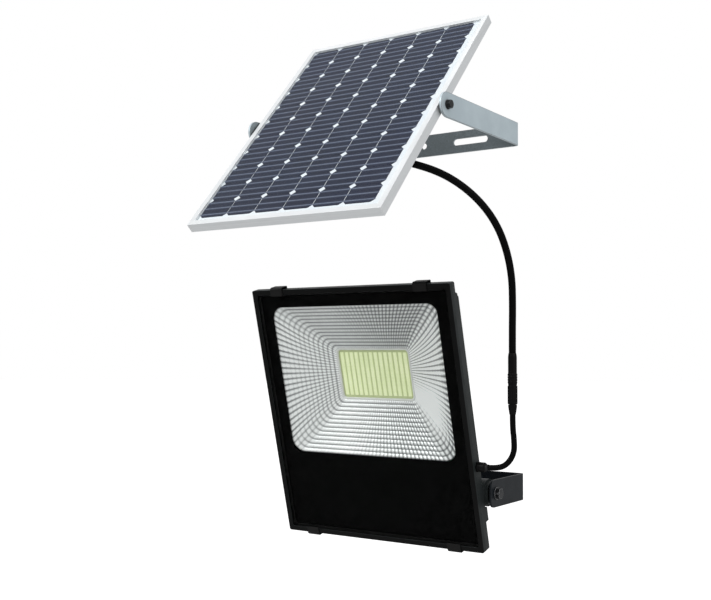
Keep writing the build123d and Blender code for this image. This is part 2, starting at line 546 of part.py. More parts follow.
BOSS_FACE = LAMP_WIDTH / 2 + LUG_BOSS
INSERT_RADIUS, INSERT_LONG = 3.9, 12  # threaded inserts in the panel's side rails
LAMP_BOLT_LONG, LAMP_WASHER_RADIUS, LAMP_SPACER_RADIUS = 24, 8.5, 12
PANEL_BOLT_LONG, PANEL_WASHER_RADIUS, PANEL_SPACER_RADIUS = 18, 6, 7.5
LAMP_HEAD_AT = LAMP_ARM_OUT + GAP + WASHER
PANEL_HEAD_AT = PANEL_ARM_OUT + GAP + WASHER
for side, hand in ((-1, "left"), (1, "right")):
    hex_bolt(
        f"lamp_bolt_{hand}", LAMP_PIVOT + Vector(side * LAMP_HEAD_AT, 0, 0), side,
        LAMP_BOLT_RADIUS, LAMP_BOLT_LONG, LAMP_BOLT_HEAD, LAMP_BOLT_HEAD_HEIGHT,
    )
    hex_bolt(
        f"panel_bolt_{hand}", PANEL_PIVOT + Vector(side * PANEL_HEAD_AT, 0, 0), side,
        PANEL_BOLT_RADIUS, PANEL_BOLT_LONG, PANEL_BOLT_HEAD, PANEL_BOLT_HEAD_HEIGHT,
    )
rings(
    "lamp_washers", LAMP_PIVOT, LAMP_ARM_OUT + GAP, WASHER, LAMP_WASHER_RADIUS, LAMP_BOLT_RADIUS + FIT,
)
rings(
    "lamp_spacers", LAMP_PIVOT, BOSS_FACE, LAMP_ARM_OUT - STRAP - GAP - BOSS_FACE, LAMP_SPACER_RADIUS,
    LAMP_BOLT_RADIUS + FIT,
)
rings(
    "panel_washers", PANEL_PIVOT, PANEL_ARM_OUT + GAP, WASHER, PANEL_WASHER_RADIUS,
    PANEL_BOLT_RADIUS + FIT,
)
rings(
    "panel_spacers", PANEL_PIVOT, PANEL_WIDTH / 2, PANEL_ARM_OUT - STRAP - GAP - PANEL_WIDTH / 2,
    PANEL_SPACER_RADIUS, PANEL_BOLT_RADIUS + FIT,
)
rings("panel_inserts", PANEL_PIVOT, PANEL_WIDTH / 2, -INSERT_LONG, INSERT_RADIUS, PANEL_BOLT_RADIUS + FIT)

# ---------------------------------------------------------------- panel: mitred frame rails
LAMINATE_BACK = RAIL_LIP + PANEL_GLASS + FILM + RIBBON + WAFER + BACKSHEET
GLASS_EDGE = 1  # room between the glass and the rail's wall


def frame_rail(name, plane, length, holes=()):
    """C-section rail with a lip over the glass and a ledge under it, mitred at both ends.

    The plane's origin is the middle of the rail's outer edge on the front face and its x points
    to the middle of the panel."""
    section = [
        (0, 0), (RAIL_FACE, 0), (RAIL_FACE, RAIL_LIP), (RAIL_WALL, RAIL_LIP),
        (RAIL_WALL, LAMINATE_BACK), (RAIL_FACE, LAMINATE_BACK), (RAIL_FACE, LAMINATE_BACK + RAIL_LIP),
        (RAIL_WALL, LAMINATE_BACK + RAIL_LIP), (RAIL_WALL, PANEL_DEPTH - RAIL_LIP),
        (RAIL_RETURN, PANEL_DEPTH - RAIL_LIP), (RAIL_RETURN, PANEL_DEPTH), (0, PANEL_DEPTH),
    ]
    across_rail = Plane(origin=plane.origin, x_dir=plane.x_dir, z_dir=plane.x_dir.cross(-plane.z_dir))
    half = length / 2
    with BuildPart() as rail:
        with BuildSketch(across_rail):
            with BuildLine():
                Polyline([(x, depth) for x, depth in section], close=True)
            make_face()
        extrude(amount=half, both=True)
        with BuildSketch(plane):
            with BuildLine():
                Polyline([(0, -half), (0, half), (RAIL_RETURN, half - RAIL_RETURN),
                          (RAIL_RETURN, RAIL_RETURN - half)], close=True)
            make_face()
        extrude(amount=-PANEL_DEPTH, mode=Mode.INTERSECT)
        for point in holes:
            with BuildSketch(outward_x(point)):
                Circle(INSERT_RADIUS + FIT)
            extrude(amount=INSERT_LONG + 1, both=True, mode=Mode.SUBTRACT)
    keep(rail, name)


HALF_W, HALF_H = PANEL_WIDTH / 2, PANEL_HEIGHT / 2
for name, x, y, length in (
    ("panel_rail_left", -1, 0, PANEL_HEIGHT), ("panel_rail_right", 1, 0, PANEL_HEIGHT),
    ("panel_rail_bottom", 0, -1, PANEL_WIDTH), ("panel_rail_top", 0, 1, PANEL_WIDTH),
):
    edge_at = PANEL.from_local_coords((x * HALF_W, y * HALF_H, 0))
    inwards = PANEL.x_dir * -x + PANEL.y_dir * -y
    pivots = [PANEL_PIVOT + Vector(x * HALF_W, 0, 0)] if x else []
    frame_rail(name, Plane(origin=edge_at, x_dir=inwards, z_dir=PANEL.z_dir), length, pivots)

KEY_LEG, KEY_THICK = 26, 3
KEY_DEPTH = LAMINATE_BACK + RAIL_LIP + 0.2
with BuildPart() as corner_keys:
    for x in (-1, 1):
        for y in (-1, 1):
            with BuildSketch(inside(PANEL, KEY_DEPTH)):
                corner = (x * (HALF_W - RAIL_WALL - 0.1), y * (HALF_H - RAIL_WALL - 0.1))
                with BuildLine():
                    Polyline(
                        [(corner[0] - x * across_leg, corner[1] - y * along_leg)
                         for across_leg, along_leg in ((0, 0), (KEY_LEG, 0), (KEY_LEG, KEY_THICK),
                                                       (KEY_THICK, KEY_THICK), (KEY_THICK, KEY_LEG),
                                                       (0, KEY_LEG))],
                        close=True,
                    )
                make_face()
            extrude(amount=KEY_DEPTH - PANEL_DEPTH + RAIL_LIP + 0.2)
keep(corner_keys, "corner_keys")

# ---------------------------------------------------------------- panel: laminate
SHEET_WIDTH = PANEL_WIDTH - 2 * (RAIL_WALL + GLASS_EDGE)
SHEET_TALL = PANEL_HEIGHT - 2 * (RAIL_WALL + GLASS_EDGE)


def laminate_sheet(name, depth, thick):
    """A full-size sheet of the laminate."""
    with BuildPart() as sheet:
        with BuildSketch(inside(PANEL, depth)):
            Rectangle(SHEET_WIDTH, SHEET_TALL)
        extrude(amount=-thick)
    keep(sheet, name)


RIBBON_DEPTH = RAIL_LIP + PANEL_GLASS + FILM
WAFER_DEPTH = RIBBON_DEPTH + RIBBON
laminate_sheet("panel_glass", RAIL_LIP, PANEL_GLASS)
laminate_sheet("panel_backsheet", WAFER_DEPTH + WAFER, BACKSHEET)

with BuildPart() as solar_cells:
    with BuildSketch(inside(PANEL, WAFER_DEPTH, WAFERS_HEIGHT_AT, WAFERS_X)) as wafers:
        with GridLocations(WAFER_PITCH_X, WAFER_PITCH_Y, WAFER_COLUMNS, WAFER_ROWS):
            Rectangle(WAFER_PITCH_X - WAFER_GAP_X, WAFER_PITCH_Y - WAFER_GAP_Y)
        chamfer(wafers.vertices(), WAFER_CORNER)
    extrude(amount=-WAFER)
keep(solar_cells, "solar_cells")

with BuildPart() as cell_ribbons:
    with BuildSketch(inside(PANEL, RIBBON_DEPTH, WAFERS_HEIGHT_AT, WAFERS_X)):
        with GridLocations(0, WAFER_PITCH_Y, 1, WAFER_ROWS):
            with GridLocations(0, WAFER_PITCH_Y / RIBBONS_PER_CELL, 1, RIBBONS_PER_CELL):
                Rectangle(WAFER_PITCH_X * WAFER_COLUMNS, RIBBON_WIDTH)
    extrude(amount=-RIBBON)
keep(cell_ribbons, "cell_ribbons")

# ---------------------------------------------------------------- panel: junction box
BOX_BACK = LAMINATE_BACK + BOX_DEEP

with BuildPart() as junction_box:
    with BuildSketch(inside(PANEL, LAMINATE_BACK, BOX_HEIGHT_AT)):
        RectangleRounded(BOX_WIDTH, BOX_TALL, 4)
    extrude(amount=-BOX_DEEP)
    with BuildSketch(inside(PANEL, LAMINATE_BACK + BOX_WALL, BOX_HEIGHT_AT)):
        RectangleRounded(BOX_WIDTH - 2 * BOX_WALL, BOX_TALL - 2 * BOX_WALL, 2)
    extrude(amount=BOX_WALL - BOX_DEEP, mode=Mode.SUBTRACT)
    with BuildSketch(outward_x(box_gland_seat)):
        Circle(PANEL_LEAD_RADIUS + BUSH_WALL + FIT)
    extrude(amount=-BOX_WALL, mode=Mode.SUBTRACT)
    with BuildSketch(inside(PANEL, LAMINATE_BACK + BOX_WALL, BOX_HEIGHT_AT)):
        with Locations(*BOX_POSTS):
            Circle(POST_RADIUS)
            Circle(SCREW_RADIUS + FIT, mode=Mode.SUBTRACT)
    extrude(amount=BOX_WALL - BOX_DEEP)
keep(junction_box, "junction_box")

with BuildPart() as junction_lid:
    with BuildSketch(inside(PANEL, BOX_BACK, BOX_HEIGHT_AT)):
        RectangleRounded(BOX_WIDTH + 2, BOX_TALL + 2, 5)
    extrude(amount=-BOX_LID)
    chamfer(junction_lid.faces().sort_by(Axis(PANEL.origin, -PANEL.z_dir))[-1].edges(), 1)
    with BuildSketch(inside(PANEL, BOX_BACK, BOX_HEIGHT_AT)):
        with Locations(*BOX_POSTS):
            Circle(SCREW_RADIUS + FIT)
    extrude(amount=-BOX_LID, mode=Mode.SUBTRACT)
keep(junction_lid, "junction_lid")

back_of_box = Plane(
    origin=PANEL.from_local_coords((0, BOX_HEIGHT_AT, -BOX_BACK - BOX_LID)),
    x_dir=(1, 0, 0), z_dir=-PANEL.z_dir,
)
screws("junction_screws", back_of_box, BOX_POSTS, BOX_LID + 8)

BLOCK_APART, BLOCK_WIDTH, BLOCK_TALL, BLOCK_HIGH = 26, 12, 22, 7
with BuildPart() as junction_terminals:
    with BuildSketch(inside(PANEL, LAMINATE_BACK + BOX_WALL, BOX_HEIGHT_AT)):
        with GridLocations(BLOCK_APART, 0, 2, 1):
            Rectangle(BLOCK_WIDTH, BLOCK_TALL)
    extrude(amount=-BLOCK_HIGH)
keep(junction_terminals, "junction_terminals")

DIODE_LONG, DIODE_THICK = 9, 5.3
with BuildPart() as bypass_diode:
    with BuildSketch(inside(PANEL, LAMINATE_BACK + BOX_WALL, BOX_HEIGHT_AT)):
        Rectangle(DIODE_LONG, DIODE_THICK)
    extrude(amount=-DIODE_THICK)
keep(bypass_diode, "bypass_diode")

# ---------------------------------------------------------------- connector in the cable
SLEEVE_RADIUS, GRIP_RADIUS, NUT_RADIUS, NUT_BORE, NOSE_RADIUS = 5.6, 6.2, 6.3, 5.2, 5.1
GRIP_TOP, SOCKET_LOW, NUT_TOP, NUT_LOW, COLLAR_TOP, NOSE_LOW = 158, 143.5, 143, 119, 130, 132
PIN_BASE = NOSE_LOW + 6
NECK_RADIUS, KEYHOLE_RADIUS = 4.3, 2.5
GRIP_RINGS, GRIP_GROOVE = 4, 0.4
NUT_GROOVES, NUT_GROOVE_RADIUS = 16, 0.55
SEAL_THICK = 1.6


def lathe(name, profile, grooves=0):
    """Round piece turned about the connector's upright axis from (radius, height) points.

    Grooves are cut down its side, evenly round it."""
    with BuildPart() as piece:
        with BuildSketch(Plane(origin=CONNECTOR_AT, x_dir=(1, 0, 0), z_dir=(0, -1, 0))):
            with BuildLine():
                Polyline(profile, close=True)
            make_face()
        revolve(axis=Axis(CONNECTOR_AT, (0, 0, 1)))
        if grooves:
            with BuildSketch(Plane(origin=CONNECTOR_AT + Vector(0, 0, NUT_LOW + 3), z_dir=(0, 0, 1))):
                with PolarLocations(NUT_RADIUS, grooves):
                    Circle(NUT_GROOVE_RADIUS)
            extrude(amount=NUT_TOP - NUT_LOW - 6, mode=Mode.SUBTRACT)
    keep(piece, name)


grip_step = (GRIP_TOP - SOCKET_LOW - 1.5) / GRIP_RINGS
grip = []
for ring in range(GRIP_RINGS):
    top = GRIP_TOP - 0.5 - ring * grip_step
    grip += [(GRIP_RADIUS, top), (GRIP_RADIUS, top - 0.6 * grip_step),
             (GRIP_RADIUS - GRIP_GROOVE, top - 0.7 * grip_step),
             (GRIP_RADIUS - GRIP_GROOVE, top - 0.9 * grip_step)]

lathe("connector_socket", [
    (0, CONNECTOR_TOP), (PANEL_LEAD_RADIUS + 0.3, CONNECTOR_TOP), (SLEEVE_RADIUS - 0.2, CONNECTOR_TOP - 3),
    (SLEEVE_RADIUS, CONNECTOR_TOP - 5), (SLEEVE_RADIUS, GRIP_TOP), *grip, (GRIP_RADIUS - 0.3, SOCKET_LOW),
    (NOSE_RADIUS, SOCKET_LOW), (NOSE_RADIUS, NOSE_LOW), (KEYHOLE_RADIUS, NOSE_LOW),
    (KEYHOLE_RADIUS, SOCKET_LOW), (0, SOCKET_LOW),
])
lathe("connector_plug", [
    (0, CONNECTOR_BOTTOM), (LAMP_LEAD_RADIUS + 0.4, CONNECTOR_BOTTOM),
    (SLEEVE_RADIUS - 0.8, CONNECTOR_BOTTOM + 4), (SLEEVE_RADIUS, NUT_LOW - 3),
    (SLEEVE_RADIUS, NUT_LOW - 0.6), (NECK_RADIUS, NUT_LOW - 0.6),
    (NECK_RADIUS, NUT_LOW + 2.6), (NOSE_RADIUS, NUT_LOW + 2.6), (NOSE_RADIUS, COLLAR_TOP),
    (KEYHOLE_RADIUS - 0.2, COLLAR_TOP), (KEYHOLE_RADIUS - 0.2, PIN_BASE), (0, PIN_BASE),
])
lathe("connector_nut", [
    (NECK_RADIUS + 0.1, NUT_LOW), (NUT_RADIUS - 0.4, NUT_LOW), (NUT_RADIUS, NUT_LOW + 1),
    (NUT_RADIUS, NUT_TOP - 1), (NUT_RADIUS - 0.4, NUT_TOP), (NUT_BORE, NUT_TOP),
    (NUT_BORE, NUT_LOW + 2.5), (NECK_RADIUS + 0.1, NUT_LOW + 2.5),
], grooves=NUT_GROOVES)
lathe("connector_seal", [
    (KEYHOLE_RADIUS + 0.1, COLLAR_TOP), (NOSE_RADIUS - 0.3, COLLAR_TOP),
    (NOSE_RADIUS - 0.3, COLLAR_TOP + SEAL_THICK), (KEYHOLE_RADIUS + 0.1, COLLAR_TOP + SEAL_THICK),
])
with BuildPart() as connector_pins:
    with BuildSketch(Plane(origin=CONNECTOR_AT + Vector(0, 0, PIN_BASE), z_dir=(0, 0, 1))):
        with Locations((-1.1, 0), (1.1, 0)):
            Circle(0.6)
    extrude(amount=SOCKET_LOW - PIN_BASE - 0.2)
keep(connector_pins, "connector_pins")


# ---------------------------------------------------------------- cable leads
def lead(name, route, radius):
    """Round cable along straight runs joined by arcs as large as the runs allow."""
    points = [Vector(*point) for point in route]
    runs = [end - start for start, end in zip(points, points[1:])]
    radii = []
    for before, after in zip(runs, runs[1:]):
        half_turn = radians(before.get_angle(after) / 2)
        radii.append(0.45 * min(before.length, after.length) * cos(half_turn) / sin(half_turn))
    print(name, "radii", [round(value, 1) for value in radii])
    with BuildPart() as tube:
        with BuildLine():
            path = FilletPolyline(*points, radius=radii)
        with BuildSketch(Plane(origin=path @ 0, z_dir=path % 0)):
            Circle(radius)
        sweep()
    section = pi * radius**2
    print(name, "length", round(path.length, 1), "volume ratio", tube.part.volume / section / path.length)
    keep(tube, name)


box_exit = box_gland_seat + Vector(BOX_GLAND_LONG, 0, 0)
lamp_exit = lamp_gland_seat + Vector(LAMP_GLAND_LONG, 0, 0)
PANEL_LEAD_ROUTE = [
    box_exit, box_exit + Vector(21.5, 0, 0), (133, -250, 417), (164, -233, 406), (186.5, -213, 390),
    (203.5, -190, 368), (213.5, -168, 342), (217, -149, 312), (216.5, -134, 280), (213, -125, 246),
    (210.5, -121, 211), (210.5, -121, CONNECTOR_TOP),
]
LAMP_LEAD_ROUTE = [
    lamp_exit, lamp_exit + Vector(15.3, 0, 0), (204.7, -121, 44.4), (212.6, -121, 58.3),
    (212.4, -121, 74), (210.5, -121, 90), (210.5, -121, CONNECTOR_BOTTOM),
]
lead("panel_lead", PANEL_LEAD_ROUTE, PANEL_LEAD_RADIUS)
lead("lamp_lead", LAMP_LEAD_ROUTE, LAMP_LEAD_RADIUS)
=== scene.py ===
import json
import math

import bpy
import numpy as np
from mathutils import Matrix, Vector


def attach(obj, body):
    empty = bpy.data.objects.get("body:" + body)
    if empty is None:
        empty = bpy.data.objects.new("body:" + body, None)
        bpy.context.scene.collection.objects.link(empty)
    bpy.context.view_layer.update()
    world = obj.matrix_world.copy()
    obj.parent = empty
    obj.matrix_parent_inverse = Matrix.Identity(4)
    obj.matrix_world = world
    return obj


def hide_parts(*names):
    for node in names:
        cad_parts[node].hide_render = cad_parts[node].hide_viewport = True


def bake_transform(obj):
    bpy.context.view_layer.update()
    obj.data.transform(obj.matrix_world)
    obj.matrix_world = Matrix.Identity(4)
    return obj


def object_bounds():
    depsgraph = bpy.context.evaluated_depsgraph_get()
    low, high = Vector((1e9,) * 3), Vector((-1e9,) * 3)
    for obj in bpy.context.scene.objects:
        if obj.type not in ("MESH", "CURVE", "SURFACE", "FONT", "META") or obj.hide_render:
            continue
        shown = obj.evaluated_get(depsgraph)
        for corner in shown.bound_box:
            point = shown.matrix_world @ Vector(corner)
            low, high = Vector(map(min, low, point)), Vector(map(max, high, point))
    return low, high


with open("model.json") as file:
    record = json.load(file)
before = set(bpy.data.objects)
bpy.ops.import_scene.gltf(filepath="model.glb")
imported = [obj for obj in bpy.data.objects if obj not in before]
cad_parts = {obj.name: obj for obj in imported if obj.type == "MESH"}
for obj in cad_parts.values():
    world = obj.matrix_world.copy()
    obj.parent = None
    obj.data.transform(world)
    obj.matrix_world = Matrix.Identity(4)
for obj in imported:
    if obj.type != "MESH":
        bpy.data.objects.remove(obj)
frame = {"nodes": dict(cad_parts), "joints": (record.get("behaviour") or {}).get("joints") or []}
NODES = frame["nodes"]
CAD_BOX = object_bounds()
MM = 0.001
JOINT = {j["name"]: j for j in frame["joints"]}


# ------------------------------------------------------------------ frames of reference
class Face:
    """Front face of a leaning body: x to the right, height up the face, depth into the body, in mm."""

    def __init__(self, joint, lean, pivot_height, pivot_depth):
        turn = math.radians(lean)
        self.out = Vector((0, -math.cos(turn), -math.sin(turn)))
        self.up = Vector((0, -math.sin(turn), math.cos(turn)))
        pivot = Vector(JOINT[joint]["pos_m"])
        self.middle = pivot - self.up * pivot_height * MM + self.out * pivot_depth * MM
        self.lean = turn

    def at(self, x, height, depth):
        return self.middle + (Vector((1, 0, 0)) * x + self.up * height - self.out * depth) * MM


LAMP = Face("lamp_tilt", 14.9, -108.9, 33.3)
PANEL = Face("panel_tilt", -42.3, 4.24, 8.12)

# ------------------------------------------------------------------ sizes in mm, as the CAD model has them
HALF_PANEL_WIDTH, HALF_PANEL_HEIGHT = 148, 200
HALF_LAMP_WIDTH = 160
RAIL_FACE = 8.0
HALF_BOX_WIDTH, BOX_HEIGHT_AT, BOX_GLAND_LONG, BOX_GLAND_DEPTH = 42, -77, 26, 15.2
LAMP_GLAND_LONG, LAMP_GLAND_HEIGHT_AT, LAMP_GLAND_DEPTH = 16, -65.2, 11.6
UPPER_RADIUS, LOWER_RADIUS = 4.6, 3.7
WINDOW_HEIGHT_AT = 47.8  # centre of the lit window above the middle of the lamp's face
WAFERS_HEIGHT_AT, RIBBON_PITCH = 3.5, 11.4

# where the leads leave the junction box's gland and the lamp's gland, in metres
BOX_EXIT = PANEL.at(HALF_BOX_WIDTH + BOX_GLAND_LONG, BOX_HEIGHT_AT, BOX_GLAND_DEPTH)
LAMP_EXIT = LAMP.at(HALF_LAMP_WIDTH + LAMP_GLAND_LONG, LAMP_GLAND_HEIGHT_AT, LAMP_GLAND_DEPTH)


# ------------------------------------------------------------------ camera, light and floor
def look(target, origin):
    return (target - origin).to_track_quat("-Z", "Y")


SKY, FLOOR_GLOW, FLOOR_SEEN = 0.55, 0.05, 0.85
FLOOR_AT = -0.62
CAMERA_AT, CAMERA_LENS = (0.7787, -1.3164, 0.182), 51.87
CAMERA_TURN = (34.13, 93.02, 0.23)  # yaw, pitch and roll in degrees
LIGHTS = (  # name, place, size and power
    ("key", (-1.0, -2.0, 1.9), 1.3, 32),
    ("fill", (2.2, -0.6, 0.9), 1.0, 9),
    ("top", (0.1, -0.7, 2.3), 1.0, 14),
)


def seen_or_not(tree, unseen, seen):
    """A strength that differs between what the camera sees and what the light does."""
    level = tree.nodes.new("ShaderNodeMapRange")
    level.inputs["To Min"].default_value, level.inputs["To Max"].default_value = unseen, seen
    tree.links.new(tree.nodes.new("ShaderNodeLightPath").outputs["Is Camera Ray"], level.inputs["Value"])
    return level.outputs["Result"]


def make_stage():
    scene = bpy.context.scene
    camera = bpy.data.objects.new("camera", bpy.data.cameras.new("camera"))
    scene.collection.objects.link(camera)
    scene.camera = camera
    camera.data.sensor_width = 36
    camera.data.lens = CAMERA_LENS
    yaw, pitch, roll = (math.radians(a) for a in CAMERA_TURN)
    turn = Matrix.Rotation(yaw, 4, "Z") @ Matrix.Rotation(pitch, 4, "X") @ Matrix.Rotation(roll, 4, "Z")
    camera.matrix_world = Matrix.Translation(CAMERA_AT) @ turn
    camera.data.clip_start, camera.data.clip_end = 0.05, 60
    scene.view_settings.view_transform = "Standard"

    world = bpy.data.worlds.new("studio")
    scene.world = world
    world.use_nodes = True
    tree = world.node_tree
    background = tree.nodes["Background"].inputs
    background["Color"].default_value = (1, 1, 1, 1)
    tree.links.new(seen_or_not(tree, SKY, 1.0), background["Strength"])

    centre = (CAD_BOX[0] + CAD_BOX[1]) / 2
    for name, place, size, power in LIGHTS:
        lamp = bpy.data.objects.new(name, bpy.data.lights.new(name, "AREA"))
        scene.collection.objects.link(lamp)
        lamp.data.energy, lamp.data.size = power, size
        lamp.location = place
        lamp.rotation_mode = "QUATERNION"
        lamp.rotation_quaternion = look(centre, Vector(place))

    bpy.ops.mesh.primitive_circle_add(vertices=96, radius=30, fill_type="NGON",
                                      location=(0, 0, FLOOR_AT))
    floor = bpy.context.object
    floor.name = "floor"
    pale = finish("floor_pale", (0.60, 0.60, 0.60), (0.59, 0.59, 0.59), 0.9, grain=3, specular=0)
    glow = pale.node_tree.nodes["Principled BSDF"].inputs
    glow["Emission Color"].default_value = (1, 1, 1, 1)
    pale.node_tree.links.new(seen_or_not(pale.node_tree, FLOOR_GLOW, FLOOR_SEEN), glow["Emission Strength"])
    floor.data.materials.append(pale)


# ------------------------------------------------------------------ materials
ROUGH_DRIFT = 0.04  # how far a surface's roughness drifts to either side


class Nodes:
    """A short way to build a node tree."""

    def __init__(self, name):
        self.made = bpy.data.materials.new(name)
        self.made.use_nodes = True
        self.tree = self.made.node_tree
        self.shader = self.tree.nodes["Principled BSDF"]
        self.out = self.tree.nodes["Material Output"]

    def add(self, kind, inputs=None, **settings):
        node = self.tree.nodes.new("ShaderNode" + kind)
        for key, value in settings.items():
            setattr(node, key, value)
        for key, value in (inputs or {}).items():
            self.set(node.inputs[key], value)
        return node

    def set(self, socket, value):
        if isinstance(value, bpy.types.NodeSocket):
            self.tree.links.new(value, socket)
        else:
            socket.default_value = value

    def noise(self, scale, detail=3.0, rough=0.5, vector=None):
        inputs = {"Scale": scale, "Detail": detail, "Roughness": rough}
        inputs["Vector"] = vector or self.place()
        return self.add("TexNoise", inputs).outputs["Fac"]

    def place(self):
        return self.add("TexCoord").outputs["Object"]

    def stretched(self, lean, scale):
        """Object coordinates turned back by a lean about X, then scaled, for brushed lines."""
        turned = self.add("VectorRotate", {"Vector": self.place(), "Angle": lean}, rotation_type="X_AXIS")
        return self.add("VectorMath", {0: turned.outputs[0], 1: scale}, operation="MULTIPLY").outputs[0]

    def mix(self, factor, a, b):
        node = self.add("Mix", data_type="RGBA")
        for socket, value in ((node.inputs["Factor"], factor), (node.inputs[6], a), (node.inputs[7], b)):
            if not isinstance(value, bpy.types.NodeSocket) and hasattr(value, "__len__"):
                value = (*value[:3], 1)
            self.set(socket, value)
        return node.outputs[2]

    def between(self, value, low, high, start=0.0, end=1.0):
        """A value from one range mapped to another, smooth at both ends."""
        node = self.add(
            "MapRange", {"Value": value, "From Min": start, "From Max": end, "To Min": low, "To Max": high},
            interpolation_type="SMOOTHSTEP",
        )
        return node.outputs["Result"]

    def maths(self, operation, a, b=0.0):
        return self.add("Math", {0: a, 1: b}, operation=operation).outputs[0]

    def along(self, vector, direction):
        """How far a vector reaches along a direction."""
        return self.add("VectorMath", {0: vector, 1: direction}, operation="DOT_PRODUCT").outputs["Value"]

    def bump(self, height, distance):
        node = self.add("Bump", {"Height": height, "Distance": distance, "Strength": 1.0})
        self.tree.links.new(node.outputs["Normal"], self.shader.inputs["Normal"])

    def edge(self, radius=0.0012):
        """One along sharp edges and nought on the flats."""
        rounded = self.add("Bevel", {"Radius": radius}, samples=4).outputs["Normal"]
        flat = self.add("NewGeometry").outputs["Normal"]
        return self.between(self.along(rounded, flat), 1.0, 0.0, 0.85, 0.995)

    def shelter(self, distance):
        """One in the open and nought deep in a corner."""
        return self.add("AmbientOcclusion", {"Distance": distance}, samples=8).outputs["AO"]

    def surface(self, **values):
        for key, value in values.items():
            if isinstance(value, tuple):
                value = (*value[:3], 1)
            self.set(self.shader.inputs[key.replace("_", " ")], value)
        return self.made


def finish(name, light, dark, rough, metal=0.0, grain=60, fine=900, bump=0.0, specular=0.5, edge=None):
    """A surface whose colour drifts between two tones, with matching roughness and a fine relief. An edge
    colour, where given, is a painted highlight along sharp edges.
    """
    m = Nodes(name)
    broad = m.noise(grain, 4, 0.55)
    colour = m.mix(m.between(broad, 0, 1, 0.3, 0.7), light, dark)
    # painted highlight: a lighter colour along the sharp edges
    if edge:
        colour = m.mix(m.edge(), colour, edge)
    m.surface(**{
        "Base Color": colour, "Metallic": metal, "Specular IOR Level": specular,
        "Roughness": m.between(broad, rough - ROUGH_DRIFT, rough + ROUGH_DRIFT, 0.3, 0.7),
    })
    if bump:
        m.bump(m.noise(fine, 3, 0.6), bump)
    return m.made


def paint(node, material):
    """Gives a CAD node a material."""
    NODES[node].data.materials.clear()
    NODES[node].data.materials.append(material)


# ------------------------------------------------------------------ mesh helpers
def put(made, name, values):
    """A number for each vertex, for the piece's material to read."""
    attribute = made.data.attributes.new(name, "FLOAT", "POINT")
    attribute.data.foreach_set("value", np.asarray(values, np.float32))


def piece(name, points, faces, body, material, smooth=True):
    """A new mesh piece that rides on a body."""
    mesh = bpy.data.meshes.new(name)
    mesh.from_pydata([tuple(p) for p in points], [], faces)
    mesh.validate()
    mesh.polygons.foreach_set("use_smooth", [smooth] * len(mesh.polygons))
    mesh.materials.append(material)
    made = bpy.data.objects.new(name, mesh)
    bpy.context.scene.collection.objects.link(made)
    if body:
        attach(made, body)
    return made


def soften(node, width):
    """Rounds the edges of a CAD node by a width in mm, with modifiers only."""
    made = NODES[node]
    made.modifiers.new("weld", "WELD").merge_threshold = 1e-6
    flat = made.modifiers.new("flat", "DECIMATE")
    flat.decimate_type, flat.angle_limit = "DISSOLVE", math.radians(0.5)
    bevel = made.modifiers.new("bevel", "BEVEL")
    bevel.width, bevel.segments, bevel.limit_method = width * MM, 2, "ANGLE"
    bevel.angle_limit = math.radians(30)
    bevel.harden_normals = False
    normals = made.modifiers.new("normals", "WEIGHTED_NORMAL")
    normals.keep_sharp = False


def rings_to_faces(count, around, close_ends=True):
    """Quads between rings of points, with both ends filled."""
    faces = []
    for here in range(0, (count - 1) * around, around):
        there = here + around
        for j in range(around):
            k = (j + 1) % around
            faces.append((here + j, here + k, there + k, there + j))
    if close_ends:
        faces.append(tuple(reversed(range(around))))
        faces.append(tuple((count - 1) * around + j for j in range(around)))
    return faces


def closed_band(count, around):
    """Quads between rings of points, with the last ring joined to the first."""
    faces = rings_to_faces(count, around, close_ends=False)
    last = (count - 1) * around
    for j in range(around):
        k = (j + 1) % around
        faces.append((last + j, last + k, k, j))
    return faces


# ------------------------------------------------------------------ cords
# control points of the leads after they leave their glands, in mm
UPPER_STUB, LOWER_STUB = 21.5, 15.3
UPPER_ROUTE = (
    (133, -250, 417), (164, -233, 406), (186.5, -213, 390), (203.5, -190, 368), (213.5, -168, 342),
    (217, -149, 312), (216.5, -134, 280), (213, -125, 246), (210.5, -121, 211), (210.5, -121, 184),
)
LOWER_ROUTE = (
    (204.7, -121, 44.4), (212.6, -121, 58.3), (212.4, -121, 74), (210.5, -121, 90), (210.5, -121, 106),
)


def cord_line(name, leaves, stub, route):
    """Points along a smooth curve that leaves a gland straight to the right and follows its route."""
    controls = [leaves, leaves + Vector((stub, 0, 0)) * MM]
    controls += [Vector(p) * MM for p in route]
    curve = bpy.data.curves.new(name + "_line", "CURVE")
    curve.dimensions = "3D"
    spline = curve.splines.new("NURBS")
    spline.points.add(len(controls) - 1)
    for control, place in zip(spline.points, controls):
        control.co = (*place, 1)
    spline.order_u = 3
    spline.use_endpoint_u = True
    spline.resolution_u = 14
    holder = bpy.data.objects.new(name + "_line", curve)
    line = bpy.data.meshes.new_from_object(holder)
    path = [vertex.co.copy() for vertex in line.vertices]
    bpy.data.objects.remove(holder)
    bpy.data.meshes.remove(line)
    bpy.data.curves.remove(curve)
    return path


def tube(name, path, radius, material):
    """A round tube along a path, with square ends."""
    around = 24
    points, side = [], Vector((0, 1, 0))
    for i, place in enumerate(path):
        ahead = (path[min(i + 1, len(path) - 1)] - path[max(i - 1, 0)]).normalized()
        side = (side - ahead * side.dot(ahead)).normalized()
        up = ahead.cross(side)
        for j in range(around):
            turn = 2 * math.pi * j / around
            points.append(place + (side * math.cos(turn) + up * math.sin(turn)) * radius)
    return piece(name, points, rings_to_faces(len(path), around), None, material)


